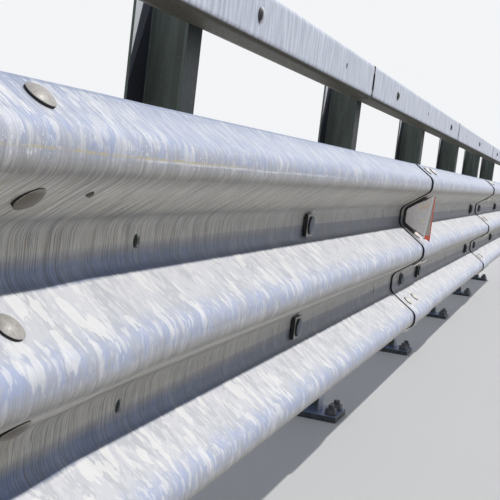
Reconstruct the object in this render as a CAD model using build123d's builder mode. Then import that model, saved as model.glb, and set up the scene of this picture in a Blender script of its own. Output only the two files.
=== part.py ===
from build123d import *
from math import radians, sqrt, tan
import os

# Bridge-edge guardrail: three-wave beam, upper rail, channel posts on base plates.
# Millimetres. +X runs along the rail, -Y is the road side, +Z is up.
# The origin is the middle of the underside of the second post's base plate.

# Bays and posts
bay = 1500.0
bays = 6
posts_before_origin = 1
end_overhang = 250.0

# Base plate
plate_length = 150.0
plate_depth = 268.0
plate_thickness = 20.0
anchor_pitch_x = 80.0
anchor_pitch_y = 214.0
anchor_hole = 24.0

# Post, a channel open toward -X
post_depth = 120.0
post_flange = 80.0
post_wall = 6.0
post_bend = 10.0
post_top_drop = 22.0

# Three-wave beam
wave_pitch = 194.0
wave_depth = 80.0
wave_slope = 55.0
wave_bend = 24.0
crest_flat = 17.0
beam_height = 506.0
top_edge_trim = 4.0
beam_sheet = 3.0
beam_centre = 657.0
beam_standoff = 271.0
bays_per_element = 1.5
lap = 320.0
lap_to_post = 180.0
lap_step = 5.6
joggle = 100.0
spare_hole = 18.0
tag_hole = 9.0
tag_hole_past_lap = 270.0
tag_hole_drop = 37.0

# Upper rail, a closed pressed section
rail_height = 100.0
rail_front_gap = 128.0
rail_wall = 4.0
rail_corner = 14.0
rail_centre = 1135.0
rail_back_height = 62.0
rail_flat_depth = 62.0
seam_past_lap = 85.0
seam_gap = 12.0
rail_hole = 15.0
rail_hole_past_post = 730.0
sleeve_length = 400.0
sleeve_wall = 4.0
sleeve_clearance = 0.5

# Spacer between post and beam
spacer_height = 300.0
spacer_width = 80.0
spacer_wall = 5.0
spacer_bend = 8.0
spacer_shift = -20.0

# Washer plates in the valleys
washer_height = 42.0
washer_width = 42.0
washer_thickness = 7.0

# Delineator on a pad in the upper valley, just past one lap's edge
delineator_past_lap = 34.0
delineator_pad = 8.0
delineator_pad_length = 26.0
delineator_pad_rise = 60.0
delineator_pad_drop = 42.0
delineator_root_over = 1.0
delineator_root_under = 5.0
delineator_past_crest = 2.0
delineator_top_clearance = 17.0
delineator_bottom_clearance = 20.0
delineator_plate = 2.0
reflector_thickness = 3.0
reflector_border = 2.5
reflector_drop = 6.0

post_front = -post_depth / 2
valley_face = post_front - beam_standoff
valley_back = valley_face + beam_sheet
crest_face = valley_face - wave_depth
post_top = rail_centre + rail_height / 2 - post_top_drop
post_places = [(i - posts_before_origin) * bay for i in range(bays + 1)]
row_start = post_places[0] - end_overhang
row_end = post_places[-1] + end_overhang
spare_places = [x + bay / 2 for x in post_places[:-1]]
rail_holes = [x + rail_hole_past_post for x in post_places[:-1]]
element = bays_per_element * bay
slope_run = wave_depth / tan(radians(wave_slope))
main_lap = post_places[posts_before_origin + 1] - lap_to_post - lap
lap_starts = [main_lap + i * element for i in (-1, 0, 1, 2)]
valleys = [beam_centre + wave_pitch / 2, beam_centre - wave_pitch / 2]
os.makedirs("parts", exist_ok=True)


def write(piece, label):
    """Label a finished piece and write it to its own file."""
    piece.part.label = label
    export_step(piece.part, f"parts/{label}.step")


def wave_points(shift):
    """Corner points of the beam's road face, from the top edge to the bottom edge."""
    front = crest_face - shift
    back = valley_face - shift
    points = []
    for crest in (wave_pitch, 0, -wave_pitch):
        centre = beam_centre + crest
        if points:
            points.append((back, centre + crest_flat + slope_run))
        points.append((front, centre + crest_flat))
        points.append((front, centre - crest_flat))
        if crest > -wave_pitch:
            points.append((back, centre - crest_flat - slope_run))
    slant = tan(radians(wave_slope))
    edge_rise = beam_height / 2 - wave_pitch - crest_flat
    top_rise = edge_rise - top_edge_trim
    points.insert(0, (front + top_rise * slant, beam_centre + beam_height / 2 - top_edge_trim))
    points.append((front + edge_rise * slant, beam_centre - beam_height / 2))
    return points


# Beam elements: each one's near end laps over the road side of the one before
slope_y = crest_face - lap_step + (tag_hole_drop - crest_flat) * wave_depth / slope_run
slope_normal = (0, -slope_run, -wave_depth)
starts = [row_start] + lap_starts
ends = [x + lap for x in lap_starts] + [row_end]
for number, (start, end) in enumerate(zip(starts, ends), 1):
    lapped = start > row_start
    straight = start + lap + joggle if lapped else start
    with BuildPart() as beam:
        with BuildSketch(Plane.YZ.offset(straight)):
            with BuildLine():
                FilletPolyline(*wave_points(0), radius=wave_bend)
                offset(amount=beam_sheet, side=Side.LEFT)
            make_face()
        extrude(amount=end - straight)
        if lapped:
            with BuildSketch(Plane.YZ.offset(start)):
                with BuildLine():
                    FilletPolyline(*wave_points(lap_step), radius=wave_bend)
                    offset(amount=beam_sheet, side=Side.LEFT)
                make_face()
            extrude(amount=lap)
            slant = Vector(joggle, lap_step, 0)
            with BuildSketch(Plane.YZ.offset(start + lap)):
                with BuildLine():
                    FilletPolyline(*wave_points(lap_step), radius=wave_bend)
                    offset(amount=beam_sheet, side=Side.LEFT)
                make_face()
            extrude(amount=slant.length, dir=slant)
        spares = [x for x in spare_places if start < x < end]
        if spares:
            with BuildSketch(Plane.XZ.offset(-valley_face)):
                with Locations(*[(x, z) for x in spares for z in valleys]):
                    Circle(spare_hole / 2)
            extrude(amount=beam_sheet * 2, both=True, mode=Mode.SUBTRACT)
        if lapped:
            for crest in (wave_pitch, 0):
                spot = (start + tag_hole_past_lap, slope_y, beam_centre + crest - tag_hole_drop)
                with BuildSketch(Plane(spot, x_dir=(1, 0, 0), z_dir=slope_normal)):
                    Circle(tag_hole / 2)
                extrude(amount=beam_sheet * 2, both=True, mode=Mode.SUBTRACT)
    write(beam, f"beam_{number}")


def rail_outline(inset):
    """Corner points of the upper rail's section, inset from its outer faces."""
    front = post_front - rail_front_gap + inset
    flat = front - inset + rail_flat_depth
    back = post_front - inset
    tall = rail_height / 2 - inset
    low = rail_back_height / 2 - inset
    return [
        (front, rail_centre + tall),
        (flat, rail_centre + tall),
        (back, rail_centre + low),
        (back, rail_centre - low),
        (flat, rail_centre - tall),
        (front, rail_centre - tall),
    ]


# Upper rail elements, butted over inner sleeves
seams = [x + seam_past_lap for x in lap_starts]
rail_starts = [row_start] + [x + seam_gap / 2 for x in seams]
rail_ends = [x - seam_gap / 2 for x in seams] + [row_end]
for number, (start, end) in enumerate(zip(rail_starts, rail_ends), 1):
    with BuildPart() as rail:
        with BuildSketch(Plane.YZ.offset(start)) as section:
            with BuildLine():
                Polyline(*rail_outline(0), close=True)
            make_face()
            fillet(section.vertices(), rail_corner)
            offset(amount=-rail_wall, mode=Mode.SUBTRACT)
        extrude(amount=end - start)
        holes = [x for x in rail_holes if start < x < end]
        if holes:
            with BuildSketch(Plane.XZ.offset(rail_front_gap - post_front)):
                with Locations(*[(x, rail_centre) for x in holes]):
                    Circle(rail_hole / 2)
            extrude(amount=rail_wall * 2, both=True, mode=Mode.SUBTRACT)
    write(rail, f"upper_rail_{number}")

for number, seam in enumerate(seams, 1):
    with BuildPart() as sleeve:
        with BuildSketch(Plane.YZ.offset(seam - sleeve_length / 2)) as section:
            with BuildLine():
                Polyline(*rail_outline(rail_wall + sleeve_clearance), close=True)
            make_face()
            fillet(section.vertices(), rail_corner - rail_wall - sleeve_clearance)
            offset(amount=-sleeve_wall, mode=Mode.SUBTRACT)
        extrude(amount=sleeve_length)
    write(sleeve, f"rail_sleeve_{number}")

# Posts, base plates and spacers
for number, x in enumerate(post_places, 1):
    with BuildPart() as plate:
        with BuildSketch(Plane.XY):
            with Locations((x, 0)):
                Rectangle(plate_length, plate_depth)
                with GridLocations(anchor_pitch_x, anchor_pitch_y, 2, 2):
                    Circle(anchor_hole / 2, mode=Mode.SUBTRACT)
        extrude(amount=plate_thickness)
    write(plate, f"base_plate_{number}")

    with BuildPart() as post:
        with BuildSketch(Plane.XY.offset(plate_thickness)):
            with BuildLine():
                left = x - post_flange / 2
                right = x + post_flange / 2
                FilletPolyline(
                    (left, post_front), (right, post_front),
                    (right, -post_front), (left, -post_front), radius=post_bend,
                )
                offset(amount=post_wall, side=Side.LEFT)
            make_face()
        extrude(amount=post_top - plate_thickness)
    write(post, f"post_{number}")

    with BuildPart() as spacer:
        with BuildSketch(Plane.XY.offset(beam_centre - spacer_height / 2)):
            with BuildLine():
                left = x + spacer_shift - spacer_width / 2
                right = x + spacer_shift + spacer_width / 2
                FilletPolyline(
                    (left, valley_back), (right, valley_back),
                    (right, post_front), (left, post_front), radius=spacer_bend,
                )
                offset(amount=spacer_wall, side=Side.LEFT)
            make_face()
        extrude(amount=spacer_height)
    write(spacer, f"spacer_{number}")

# Washer plates in both valleys at each post, resting on the bends beside the flat
valley_flat = wave_pitch - 2 * crest_flat - 2 * slope_run
bend_start = valley_flat / 2 - wave_bend * tan(radians(wave_slope / 2))
washer_past_flat = washer_height / 2 - bend_start
washer_lift = wave_bend - sqrt(wave_bend ** 2 - washer_past_flat ** 2)
with BuildPart() as washers:
    with BuildSketch(Plane.XZ.offset(washer_lift - valley_face)):
        with Locations(*[(x + spacer_shift, z) for x in post_places for z in valleys]):
            Rectangle(washer_width, washer_height)
    extrude(amount=washer_thickness)
write(washers, "washer_plates")

# Delineator: a pad along the upper valley, a plate across the rail on it, and its reflector
delineator_x = main_lap + delineator_past_lap
pad_face = valley_face - lap_step - delineator_pad
tip = crest_face - lap_step - delineator_past_crest
middle = valleys[0]
crest_half = wave_pitch / 2 - crest_flat
valley_half = crest_half - slope_run
root_top = middle + valley_half + delineator_root_over
root_bottom = middle - valley_half + delineator_root_under
tip_top = middle + crest_half - delineator_top_clearance
tip_bottom = middle - crest_half + delineator_bottom_clearance
pad_height = delineator_pad_rise + delineator_pad_drop
pad_middle = middle + (delineator_pad_rise - delineator_pad_drop) / 2
with BuildPart() as pad:
    with BuildSketch(Plane.YZ.offset(delineator_x)):
        with BuildLine():
            FilletPolyline(*wave_points(lap_step), radius=wave_bend)
            offset(amount=delineator_pad, side=Side.RIGHT)
        make_face()
        with Locations((valley_face - wave_depth / 2, pad_middle)):
            Rectangle(wave_depth * 3, pad_height, mode=Mode.INTERSECT)
    extrude(amount=delineator_pad_length)
write(pad, "delineator_foot")

with BuildPart() as bracket:
    with BuildSketch(Plane.YZ.offset(delineator_x)):
        with BuildLine():
            Polyline(
                (pad_face, root_top), (tip, tip_top), (tip, tip_bottom),
                (pad_face, root_bottom), close=True,
            )
        make_face()
    extrude(amount=delineator_plate)
    add(pad.part, mode=Mode.SUBTRACT)
write(bracket, "delineator_bracket")

with BuildPart() as reflector:
    with BuildSketch(Plane.YZ.offset(delineator_x + delineator_plate)):
        with BuildLine():
            Polyline(
                (pad_face, root_top), (tip - reflector_border, tip_top),
                (tip - reflector_border, tip_bottom - reflector_drop),
                (pad_face, root_bottom), close=True,
            )
        make_face()
    extrude(amount=reflector_thickness)
    add(pad.part, mode=Mode.SUBTRACT)
write(reflector, "delineator_reflector")
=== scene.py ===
"""Looks for a galvanised guardrail: zinc finishes, dome-head bolts, nuts, studs and a delineator.

Metres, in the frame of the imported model: +X along the rail, -Y the road side, +Z up.
"""

import logging
import math
from dataclasses import dataclass, field
from enum import Enum
from functools import partial, reduce

import bpy
import numpy as np
from mathutils import Matrix, Vector

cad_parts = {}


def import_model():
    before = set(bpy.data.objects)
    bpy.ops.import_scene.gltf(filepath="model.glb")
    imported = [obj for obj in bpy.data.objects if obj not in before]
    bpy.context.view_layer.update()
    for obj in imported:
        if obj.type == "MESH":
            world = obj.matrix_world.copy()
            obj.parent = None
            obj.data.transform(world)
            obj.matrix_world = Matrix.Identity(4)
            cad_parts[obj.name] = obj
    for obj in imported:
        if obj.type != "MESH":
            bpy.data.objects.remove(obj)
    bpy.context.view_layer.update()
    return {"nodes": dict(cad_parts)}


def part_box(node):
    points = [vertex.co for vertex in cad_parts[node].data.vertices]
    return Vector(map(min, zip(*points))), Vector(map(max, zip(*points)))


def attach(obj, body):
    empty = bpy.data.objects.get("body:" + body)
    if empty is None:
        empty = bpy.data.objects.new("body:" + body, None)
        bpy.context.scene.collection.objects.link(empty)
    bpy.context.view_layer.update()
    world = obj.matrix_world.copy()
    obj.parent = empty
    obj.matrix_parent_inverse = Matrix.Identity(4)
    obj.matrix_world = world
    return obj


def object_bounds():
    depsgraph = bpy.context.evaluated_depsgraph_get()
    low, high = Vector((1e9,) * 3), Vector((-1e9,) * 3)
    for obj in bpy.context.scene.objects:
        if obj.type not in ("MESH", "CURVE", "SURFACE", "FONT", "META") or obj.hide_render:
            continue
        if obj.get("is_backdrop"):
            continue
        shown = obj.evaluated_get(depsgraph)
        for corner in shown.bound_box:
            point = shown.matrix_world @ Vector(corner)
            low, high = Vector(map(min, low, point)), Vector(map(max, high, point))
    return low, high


LOG = logging.getLogger("guardrail")
MM = 0.001
BODY = "root"
SHARP_ANGLE = math.radians(36)
ROAD = Vector((0, -1, 0))
REAR = Vector((0, 1, 0))
UP = Vector((0, 0, 1))

Color = tuple[float, float, float, float]
Socket = bpy.types.NodeSocket
Material = bpy.types.Material
Value = Socket | float
Paint = Socket | Color
Spot = tuple[Vector, Vector, float]
Shape = tuple[np.ndarray, np.ndarray]


class Slot(str, Enum):
    """The record's material slots."""

    BEAM = "galvanised_beam"
    RAIL = "galvanised_rail"
    POST = "galvanised_post"
    HARDWARE = "galvanised_hardware"
    PLATE = "delineator_back"
    PAD = "delineator_pad"
    RED = "delineator_red"


class Side(Enum):
    """The faces that a tint covers: measures of a point, with where each starts and is full.

    Shares there follow where they aren't 0 and 1. A tint covers as much as its measures' product.
    """

    UNDER = (("normal_z", -0.35, -0.7),)
    HEAD_UNDER = (("normal_z", -0.1, -0.45),)
    ROAD = (("normal_y", -0.5, -0.9, 0, 0.8),)
    REAR_LEG = (("normal_y", -0.5, -0.9), ("y", 0, 20 * MM))
    PAINTED_SUN_STRIP = REAR_LEG + (("strip", 0, 2 * MM),)
    FOOT = (("normal_y", -0.5, -0.9), ("z", 0.5, 0.4))
    AWAY = (("away", 0.5, 0.9, 0, 0.85),)
    TOP = (("normal_z", 0.6, 0.95),)
    FAR = (("x", -0.6, 0.6, 0, 0.85),)
    NEAR = (("normal_x", -0.12, -0.45),)
    ENDS = (("across", 0.6, 0.9),)


def srgb(red: float, green: float, blue: float) -> Color:
    """Turns a screen colour into the linear values that a shader takes.

    Args:
        red: Red, 0 to 255.
        green: Green, 0 to 255.
        blue: Blue, 0 to 255.

    Returns:
        Linear red, green, blue and an alpha of 1.
    """

    def linear(value: float) -> float:
        """One channel, by the sRGB curve."""
        share = value / 255
        return share / 12.92 if share <= 0.04045 else ((share + 0.055) / 1.055) ** 2.4

    return linear(red), linear(green), linear(blue), 1.0


def add_node(tree: bpy.types.NodeTree, kind: str, inputs: dict | None = None,
             **settings) -> bpy.types.Node:
    """Adds a node to a tree.

    Args:
        tree: The tree.
        kind: The node's Blender type.
        inputs: Values or sockets for its inputs.
        **settings: Values for its properties.

    Returns:
        The new node.
    """
    node = tree.nodes.new(kind)
    for key, value in settings.items():
        setattr(node, key, value)
    for key, value in (inputs or {}).items():
        if isinstance(value, Socket):
            tree.links.new(value, node.inputs[key])
        else:
            node.inputs[key].default_value = value
    return node


def add_object(name: str, data: bpy.types.ID) -> bpy.types.Object:
    """Adds an object to the scene.

    Args:
        name: The object's name.
        data: Its mesh, camera or light.

    Returns:
        The object.
    """
    item = bpy.data.objects.new(name, data)
    bpy.context.scene.collection.objects.link(item)
    return item


class Graph:
    """A short way to lay out the nodes of a finish."""

    ripple_scale: float = 1.7
    ripple_detail: float = 2.0
    bump_strength: float = 0.25

    def __init__(self, name: str, tone: Color, metallic: float = 0.0, specular: float = 0.5) -> None:
        """Starts an empty material with the measures of each point.

        Args:
            name: The material's name.
            tone: The colour that the others are laid over.
            metallic: The shader's metallic value.
            specular: The shader's specular level.
        """
        self.material = bpy.data.materials.new(name)
        self.material.use_nodes = True
        self.tree = self.material.node_tree
        self.tree.nodes.clear()
        self.tone: Paint = tone
        self.gloss = {"Metallic": metallic, "Specular IOR Level": specular}
        self.coords = self.add("ShaderNodeTexCoord").outputs["Object"]
        self.x, self.y, self.z = self.add("ShaderNodeSeparateXYZ", {0: self.coords}).outputs
        normal = self.add("ShaderNodeNewGeometry").outputs["Normal"]
        self.normal_x, self.normal_y, self.normal_z = self.add("ShaderNodeSeparateXYZ", {0: normal}).outputs

    def add(self, kind: str, inputs: dict | None = None, **settings) -> bpy.types.Node:
        """Adds a node of a kind to the finish, with values or sockets for its inputs."""
        return add_node(self.tree, kind, inputs, **settings)

    def stretched(self, scale: tuple[float, float, float], warp: float = 0.0) -> Socket:
        """Object coordinates times a scale along each axis, with a ripple added.

        Args:
            scale: Repeats per metre along X, Y and Z.
            warp: How far a noise pushes the result, in repeats.

        Returns:
            The stretched coordinates.
        """
        mapping = self.add("ShaderNodeMapping", {"Vector": self.coords, "Scale": scale})
        if not warp:
            return mapping.outputs[0]
        ripple = self.add("ShaderNodeTexNoise", {"Vector": mapping.outputs[0], "Scale": self.ripple_scale,
                                                 "Detail": self.ripple_detail})
        push = self.add("ShaderNodeVectorMath", {0: ripple.outputs["Color"], 1: (warp, warp, warp)},
                        operation="MULTIPLY")
        return self.add("ShaderNodeVectorMath", {0: mapping.outputs[0], 1: push.outputs[0]},
                        operation="ADD").outputs[0]

    def noise(self, scale: tuple[float, float, float], detail: float = 3.0, rough: float = 0.55,
              warp: float = 0.0) -> Socket:
        """A noise value on stretched object coordinates.

        Args:
            scale: Repeats per metre along each axis.
            detail: Octaves.
            rough: Share of the finer octaves.
            warp: Distortion.

        Returns:
            The noise value, about 0.25 to 0.75.
        """
        node = self.add("ShaderNodeTexNoise", {"Vector": self.stretched(scale), "Scale": 1.0,
                                               "Detail": detail, "Roughness": rough, "Distortion": warp})
        return node.outputs[0]

    def dabs(self, scale: tuple[float, float, float], warp: float, reach: float,
             share: float) -> Socket:
        """Sharp-edged dabs in some of the cells of a stretched cell pattern, like bright zinc flakes.

        A dab's strength falls from 1 to 0 where the distance to its cell's point nears the reach.

        Args:
            scale: Cells per metre along each axis.
            warp: How ragged the dabs are, in cells.
            reach: A dab's radius, in cells.
            share: Share of the cells that hold a dab.

        Returns:
            The dabs' strength, 0 to 1.
        """
        node = self.add("ShaderNodeTexVoronoi", {"Vector": self.stretched(scale, warp), "Scale": 1.0},
                        feature="F1")
        parts = self.add("ShaderNodeSeparateColor", {0: node.outputs["Color"]})
        chosen = self.band(parts.outputs[0], 0.98 - share, 1.02 - share)
        return self.times(self.band(node.outputs["Distance"], reach, reach * 0.7), chosen)

    def band(self, value: Socket, low: float, high: float, start: float = 0.0,
             stop: float = 1.0) -> Socket:
        """Maps a range of values to another with an easy start and end, clamped.

        Args:
            value: The value.
            low: Value mapped to start.
            high: Value mapped to stop.
            start: Result at low.
            stop: Result at high.

        Returns:
            The mapped value.
        """
        return self.add("ShaderNodeMapRange", {"Value": value, "From Min": low, "From Max": high,
                                               "To Min": start, "To Max": stop},
                        interpolation_type="SMOOTHSTEP").outputs[0]

    def math(self, operation: str, *values: Value) -> Socket:
        """A maths node on up to three values, each a socket or a number."""
        return self.add("ShaderNodeMath", dict(enumerate(values)), operation=operation).outputs[0]

    def times(self, *factors: Value) -> Socket:
        """The product of some values, worked out from the first to the last."""
        return reduce(partial(self.math, "MULTIPLY"), factors)

    def mix(self, share: Value, first: Paint, second: Paint) -> Socket:
        """Mixes two colours, with a share of the second."""
        return self.add("ShaderNodeMix", {0: share, 6: first, 7: second}, data_type="RGBA").outputs[2]

    def lay(self, color: Paint, *shares: Value) -> None:
        """Lays a colour over the tone so far, by the product of some shares."""
        self.tone = self.mix(self.times(*shares), self.tone, color)

    def ramp(self, value: Socket, stops: tuple) -> Socket:
        """A run of colours.

        Args:
            value: Place on the run, 0 to 1.
            stops: Pairs of place and colour, in order.

        Returns:
            The colour.
        """
        node = self.add("ShaderNodeValToRGB", {0: value})
        elements = node.color_ramp.elements
        for index, (place, color) in enumerate(stops):
            item = elements[index] if index < 2 else elements.new(place)
            item.position = place
            item.color = color
        return node.outputs[0]

    def finish(self, roughness: Value, height: Socket | None = None, depth: float = 0.0) -> Material:
        """Gives the tone and the other results to a principled shader.

        Args:
            roughness: Roughness, a socket or a number.
            height: Height for a bump, or None.
            depth: The bump's distance, in metres.

        Returns:
            The material.
        """
        inputs = {"Base Color": self.tone, "Roughness": roughness, **self.gloss}
        if height is not None:
            inputs["Normal"] = self.add("ShaderNodeBump", {"Height": height, "Distance": depth,
                                                           "Strength": self.bump_strength}).outputs[0]
        shader = self.add("ShaderNodeBsdfPrincipled", inputs)
        self.add("ShaderNodeOutputMaterial", {"Surface": shader.outputs["BSDF"]})
        return self.material


class WaveGraph(Graph):
    """The nodes of the beam's finish, which know where each point lies on the three waves.

    The rise is the height above the nearest crest, and the height is that over the pitch, plus a
    half. Front is 1 on the road face, and top grows up the upper side of the top wave.
    """

    def __init__(self, name: str, tone: Color, middle: float, pitch: float) -> None:
        """Works the places out from the height, which repeats with the pitch.

        Args:
            name: The material's name.
            tone: The colour that the others are laid over.
            middle: Height of the middle crest.
            pitch: Height from one crest to the next.
        """
        super().__init__(name, tone, 0.1, 0.4)
        half = pitch / 2
        self.pitch = pitch
        self.top_start = middle + half
        self.top_crest = middle + pitch
        self.rise = self.math("WRAP", self.math("SUBTRACT", self.z, middle), half, -half)
        self.height = self.math("ADD", self.math("DIVIDE", self.rise, pitch), 0.5)
        self.front = self.band(self.normal_y, 0.15, -0.15)
        self.top = self.times(self.band(self.z, self.top_start, self.top_crest),
                              self.band(self.rise, 6 * MM, 30 * MM, 0, 0.85))

    def by_height(self, table: tuple) -> Socket:
        """A colour or share looked up by height above the nearest crest.

        Args:
            table: Pairs of height in millimetres and a colour or share.

        Returns:
            The colour or share at that height.
        """
        stops = []
        for millimetres, value in table:
            color = value if isinstance(value, tuple) else (value, value, value, 1.0)
            stops.append((min(1.0, max(0.0, millimetres * MM / self.pitch + 0.5)), color))
        return self.ramp(self.height, tuple(stops))


@dataclass(frozen=True)
class BeamZinc:
    """Weathered zinc on the three waves: pale flakes above, brown-grey below; the valleys' slate and
    brown-grey are painted shade with painted reflections of sky and ground.
    """

    name: str = "beam_zinc"
    pitch: float = 194 * MM
    back: Color = srgb(176, 176, 176)
    white: Color = srgb(250, 250, 252)
    grey: Color = srgb(192, 194, 198)
    blue: Color = srgb(172, 186, 220)
    # Painted sky sheen: the lavender of the top wave's upper side, seen at a grazing angle.
    lavender_sheen: Color = srgb(198, 203, 221)
    # Painted shade near the top wave's edge, as if the sheet curled back there: this bluish band and a dark
    # rim in the scratch colour.
    top_edge_shade: Color = srgb(158, 170, 194)
    line: Color = srgb(88, 88, 86)
    ochre: Color = srgb(164, 140, 88)
    scratch: Color = srgb(142, 154, 182)
    # Where the far painted shade grows and the top wave's flakes thin out along the rail, and by what shares
    far_x: tuple = (-1.1, 0.2)
    thinning_x: tuple = (-1.15, -0.75, 0.1, 0.7)
    # Each noise's repeats per metre along X, Y and Z, its octaves, the finer octaves' share and its warp
    broad: tuple = ((8, 3, 3), 2, 0.5)
    patches: tuple = ((48, 40, 40), 4, 0.65, 0.4)
    scratches: tuple = ((560, 24, 24), 5, 0.75, 0.3)
    clusters: tuple = ((26, 30, 30), 2)
    fine_lines: tuple = ((860, 16, 16), 4, 0.65, 0.2)
    wide_lines: tuple = ((150, 9, 9), 3, 0.6, 0.2)
    stains: tuple = ((260, 9, 9), 4, 0.7)
    wander: tuple = ((3, 1, 1), 2)
    breaks: tuple = ((45, 150, 150), 3, 0.7)
    # The noise values where each layer starts and is full, and its shares there
    grey_range: tuple = (0.35, 0.7, 0, 0.2)
    blue_range: tuple = (0.42, 0.6, 0.1, 0.85)
    light_range: tuple = (0.5, 0.62, 0, 0.6)
    dark_range: tuple = (0.5, 0.39, 0, 0.75)
    cluster_range: tuple = (0.4, 0.56)
    fine_range: tuple = (0.47, 0.59, 0, 0.9)
    wide_range: tuple = (0.5, 0.64, 0, 0.28)
    stain_range: tuple = (0.54, 0.66, 0, 0.5)
    break_range: tuple = (0.4, 0.6, 0.15)
    rough_range: tuple = (0.3, 0.7, 0.42, 0.54)
    # The heights above a crest where each layer starts and is full, and its shares there
    edge_rise: tuple = (38 * MM, 51 * MM, 0, 0.8)
    rim_rise: tuple = (51.5 * MM, 53 * MM, 0, 0.7)
    stain_rise: tuple = (-18 * MM, -28 * MM)
    bend_rises: tuple = ((-16 * MM, -4 * MM), (34 * MM, 14 * MM))
    # Height against the top crest, start, end, strength and colour of each line of the thin scrape
    scrapes: tuple = ((0.0, -1.22, -0.5, 0.75, srgb(204, 186, 132)),
                      (-2 * MM, -0.97, 0.0, 0.45, srgb(250, 250, 252)))
    scrape_drift: float = 8 * MM
    scrape_width: tuple = (1.8 * MM, 0.4 * MM)
    scrape_ends: tuple = (0.05, 0.25)
    # Cell scale, raggedness, reach, share of cells, strength and colour of each layer of flakes
    flakes: tuple = (((62, 27, 27), 0.6, 2.0, 0.26, 0.45, srgb(188, 190, 194)),
                     ((130, 60, 60), 0.6, 2.0, 0.28, 0.3, srgb(194, 197, 204)),
                     ((70, 31, 31), 0.7, 2.0, 0.13, 0.8, srgb(253, 250, 246)),
                     ((104, 46, 46), 0.8, 0.6, 0.3, 0.7, srgb(253, 250, 246)),
                     ((240, 104, 104), 0.8, 0.5, 0.34, 0.5, srgb(254, 252, 248)))
    # The same without a colour for the small white marks on the top wave's bend
    flecks: tuple = (((300, 90, 120), 1.9, 0.42, 0.2, 0.7), ((620, 260, 330), 1.2, 0.5, 0.1, 0.9))
    # Tones and shares by height above a wave's crest, in millimetres
    # Near white on the sunlit upper slopes up to 63 mm, then slate from 66 mm where the wave above casts its
    # shadow, and brown-grey higher in the valley: the valley tones are painted shade with painted
    # reflections of sky and ground.
    tones: tuple = ((-97, srgb(190, 185, 175)), (-75, srgb(176, 172, 164)), (-66, srgb(156, 154, 149)),
                    (-56, srgb(200, 196, 184)), (-34, srgb(203, 199, 188)), (-19, srgb(146, 139, 131)),
                    (-13, srgb(167, 164, 160)), (4, srgb(183, 184, 194)), (20, srgb(200, 204, 220)),
                    (36, srgb(228, 227, 229)), (63, srgb(236, 234, 236)), (66, srgb(103, 120, 158)),
                    (80, srgb(96, 113, 150)), (89, srgb(142, 143, 147)), (97, srgb(190, 185, 175)))
    # Painted shade: the valleys and lower slopes darker farther along the rail.
    far_shade_tones: tuple = ((-97, srgb(96, 101, 116)), (-78, srgb(150, 148, 148)), (-56, srgb(172, 168, 156)),
                        (-34, srgb(172, 168, 157)), (66, srgb(68, 77, 95)), (97, srgb(96, 101, 116)))
    far_share: tuple = ((-97, 0.45), (-80, 0.4), (-70, 0.2), (-56, 0.5), (-34, 0.5), (-24, 0.0), (63, 0.0),
                        (66, 1.0), (97, 0.9))
    # The flakes' and lines' shares change at 63 to 67 mm, with the edge of the cast shadow: bright flakes
    # where sunlight falls, dark lines where shade falls, so partly painted light and shade.
    flake_share: tuple = ((-97, 0.06), (-24, 0.06), (-8, 0.2), (8, 0.42), (26, 0.78), (63, 1.0), (66, 0.06),
                          (97, 0.06))
    blue_share: tuple = ((-97, 0.0), (-8, 0.0), (6, 0.75), (22, 0.65), (34, 0.1), (59, 0.0), (97, 0.0))
    line_share: tuple = ((-97, 0.8), (-70, 0.8), (-55, 1.0), (-25, 0.8), (-5, 0.3), (16, 0.1), (28, 0.03),
                         (63, 0.03), (67, 0.75), (97, 0.8))

    def build(self, middle: float) -> Material:
        """Builds the material.

        Args:
            middle: Height of the middle crest.

        Returns:
            The material.
        """
        graph = WaveGraph(self.name, self.back, middle, self.pitch)
        broad = graph.noise(*self.broad)
        self.lay_tones(graph)
        graph.lay(self.grey, graph.band(broad, *self.grey_range))
        self.lay_flakes(graph)
        self.lay_scratches(graph)
        self.lay_flecks(graph)
        fine, wide = graph.noise(*self.fine_lines), graph.noise(*self.wide_lines)
        lining = graph.by_height(self.line_share)
        graph.lay(self.line, lining, graph.band(fine, *self.fine_range))
        graph.lay(self.line, lining, graph.band(wide, *self.wide_range))
        graph.lay(self.ochre, graph.band(graph.noise(*self.stains), *self.stain_range),
                  graph.band(graph.rise, *self.stain_rise), graph.front)
        for drop, start, stop, most, color in self.scrapes:
            graph.lay(color, self.scraped(graph, graph.top_crest + drop, start, stop, most))
        rough = graph.band(broad, *self.rough_range)
        return graph.finish(rough, graph.math("ADD", fine, wide), 0.3 * MM)

    def lay_tones(self, graph: WaveGraph) -> None:
        """Lays the tones by height: painted shade in the valleys, darker farther along, a bluer top wave
        from a painted sky sheen, and painted shade near its top edge.

        Args:
            graph: The material's nodes.
        """
        graph.lay(graph.by_height(self.tones), graph.front)
        graph.lay(graph.by_height(self.far_shade_tones), graph.by_height(self.far_share),
                  graph.band(graph.x, *self.far_x), graph.front)
        graph.lay(self.lavender_sheen, graph.top, graph.front)
        graph.lay(self.top_edge_shade, graph.top, graph.band(graph.rise, *self.edge_rise), graph.front)

    def lay_flakes(self, graph: WaveGraph) -> None:
        """Lays blue patches and the layers of flakes, fewer farther along the top wave.

        Args:
            graph: The material's nodes.
        """
        graph.lay(self.blue, graph.by_height(self.blue_share),
                  graph.band(graph.noise(*self.patches), *self.blue_range), graph.front)
        fewer = graph.times(graph.top, graph.band(graph.x, *self.thinning_x))
        share = graph.times(graph.by_height(self.flake_share), graph.math("SUBTRACT", 1.0, fewer))
        for scale, warp, reach, part, strength, color in self.flakes:
            graph.lay(color, share, strength, graph.dabs(scale, warp, reach, part))

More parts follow.
